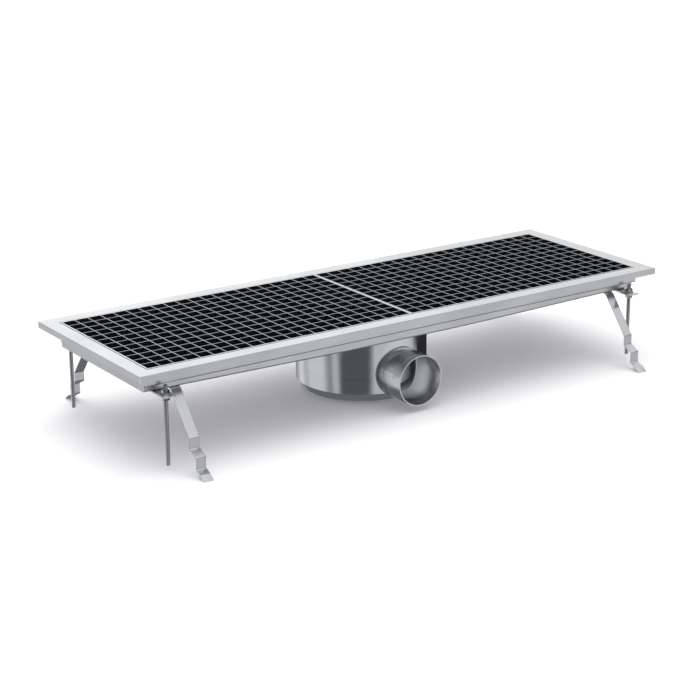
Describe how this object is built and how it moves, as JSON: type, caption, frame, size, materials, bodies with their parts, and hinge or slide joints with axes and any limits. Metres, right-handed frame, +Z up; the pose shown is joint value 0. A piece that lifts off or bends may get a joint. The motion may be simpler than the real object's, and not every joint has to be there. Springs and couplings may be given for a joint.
{
  "type": "floor drain",
  "caption": "Stainless steel floor channel drain with lift-out mesh gratings, round sump with odour trap, side outlet, threaded levelling legs and bent floor anchors.",
  "frame": {"origin": "middle of the drain's plan, on the floor that the anchors' feet stand on", "axes": "+X along the channel, +Y away from the outlet, +Z up"},
  "size_m": [1.2, 0.538, 0.19],
  "materials": {
    "stainless_sheet": "pickled cold-rolled sheet, matt",
    "stainless_mesh": "press-locked mesh, worn bright on top",
    "stainless_tube": "bright rolled and welded",
    "stainless_strip": "bright flat strip",
    "threaded_steel": "rolled thread, dull",
    "nut_steel": "bright machined",
    "seal_rubber": "matt"
  },
  "bodies": {
    "drain_body": {"channel": "stainless_sheet", "left_end_plate": "stainless_sheet", "right_end_plate": "stainless_sheet", "left_grating": "stainless_mesh", "right_grating": "stainless_mesh", "sump": "stainless_tube", "outlet_spigot": "stainless_tube", "trap_seat_ring": "stainless_sheet", "trap_seal": "seal_rubber", "trap_funnel": "stainless_sheet", "trap_cup": "stainless_sheet", "sediment_basket": "stainless_sheet", "basket_grip": "stainless_sheet", "bracket_tab_near_left": "stainless_strip", "anchor_near_left": "stainless_strip", "bracket_tab_near_right": "stainless_strip", "anchor_near_right": "stainless_strip", "bracket_tab_far_left": "stainless_strip", "anchor_far_left": "stainless_strip", "bracket_tab_far_right": "stainless_strip", "anchor_far_right": "stainless_strip"},
    "lower_nut_near_left": {"lower_nut_near_left": "nut_steel"},
    "levelling_rod_near_left": {"levelling_rod_near_left": "threaded_steel"},
    "upper_nut_near_left": {"upper_nut_near_left": "nut_steel"},
    "lower_nut_near_right": {"lower_nut_near_right": "nut_steel"},
    "levelling_rod_near_right": {"levelling_rod_near_right": "threaded_steel"},
    "upper_nut_near_right": {"upper_nut_near_right": "nut_steel"},
    "lower_nut_far_left": {"lower_nut_far_left": "nut_steel"},
    "levelling_rod_far_left": {"levelling_rod_far_left": "threaded_steel"},
    "upper_nut_far_left": {"upper_nut_far_left": "nut_steel"},
    "lower_nut_far_right": {"lower_nut_far_right": "nut_steel"},
    "levelling_rod_far_right": {"levelling_rod_far_right": "threaded_steel"},
    "upper_nut_far_right": {"upper_nut_far_right": "nut_steel"}
  },
  "joints": [
    {"name": "lower_nut_turn_near_left", "type": "hinge", "parent": "drain_body", "child": "lower_nut_near_left", "pos_m": [-0.543, -0.184, 0.1369], "axis": [0, 0, 1], "range_deg": [-7540, 2330]},
    {"name": "levelling_rod_slide_near_left", "type": "slide", "parent": "drain_body", "child": "levelling_rod_near_left", "axis": [0, 0, 1], "range_m": [-0.008, 0.026]},
    {"name": "upper_nut_turn_near_left", "type": "hinge", "parent": "drain_body", "child": "upper_nut_near_left", "pos_m": [-0.543, -0.184, 0.1479], "axis": [0, 0, 1], "range_deg": [-7540, 2330]},
    {"name": "lower_nut_turn_near_right", "type": "hinge", "parent": "drain_body", "child": "lower_nut_near_right", "pos_m": [0.543, -0.184, 0.1369], "axis": [0, 0, 1], "range_deg": [-7540, 2330]},
    {"name": "levelling_rod_slide_near_right", "type": "slide", "parent": "drain_body", "child": "levelling_rod_near_right", "axis": [0, 0, 1], "range_m": [-0.008, 0.026]},
    {"name": "upper_nut_turn_near_right", "type": "hinge", "parent": "drain_body", "child": "upper_nut_near_right", "pos_m": [0.543, -0.184, 0.1479], "axis": [0, 0, 1], "range_deg": [-7540, 2330]},
    {"name": "lower_nut_turn_far_left", "type": "hinge", "parent": "drain_body", "child": "lower_nut_far_left", "pos_m": [-0.543, 0.184, 0.1369], "axis": [0, 0, 1], "range_deg": [-7540, 2330]},
    {"name": "levelling_rod_slide_far_left", "type": "slide", "parent": "drain_body", "child": "levelling_rod_far_left", "axis": [0, 0, 1], "range_m": [-0.008, 0.026]},
    {"name": "upper_nut_turn_far_left", "type": "hinge", "parent": "drain_body", "child": "upper_nut_far_left", "pos_m": [-0.543, 0.184, 0.1479], "axis": [0, 0, 1], "range_deg": [-7540, 2330]},
    {"name": "lower_nut_turn_far_right", "type": "hinge", "parent": "drain_body", "child": "lower_nut_far_right", "pos_m": [0.543, 0.184, 0.1369], "axis": [0, 0, 1], "range_deg": [-7540, 2330]},
    {"name": "levelling_rod_slide_far_right", "type": "slide", "parent": "drain_body", "child": "levelling_rod_far_right", "axis": [0, 0, 1], "range_m": [-0.008, 0.026]},
    {"name": "upper_nut_turn_far_right", "type": "hinge", "parent": "drain_body", "child": "upper_nut_far_right", "pos_m": [0.543, 0.184, 0.1479], "axis": [0, 0, 1], "range_deg": [-7540, 2330]}
  ],
  "couplings": [
    {"joint": "lower_nut_turn_near_left", "follows": "levelling_rod_slide_near_left", "rad_per_m": -5026.5},
    {"joint": "upper_nut_turn_near_left", "follows": "levelling_rod_slide_near_left", "rad_per_m": -5026.5},
    {"joint": "lower_nut_turn_near_right", "follows": "levelling_rod_slide_near_right", "rad_per_m": -5026.5},
    {"joint": "upper_nut_turn_near_right", "follows": "levelling_rod_slide_near_right", "rad_per_m": -5026.5},
    {"joint": "lower_nut_turn_far_left", "follows": "levelling_rod_slide_far_left", "rad_per_m": -5026.5},
    {"joint": "upper_nut_turn_far_left", "follows": "levelling_rod_slide_far_left", "rad_per_m": -5026.5},
    {"joint": "lower_nut_turn_far_right", "follows": "levelling_rod_slide_far_right", "rad_per_m": -5026.5},
    {"joint": "upper_nut_turn_far_right", "follows": "levelling_rod_slide_far_right", "rad_per_m": -5026.5}
  ]
}
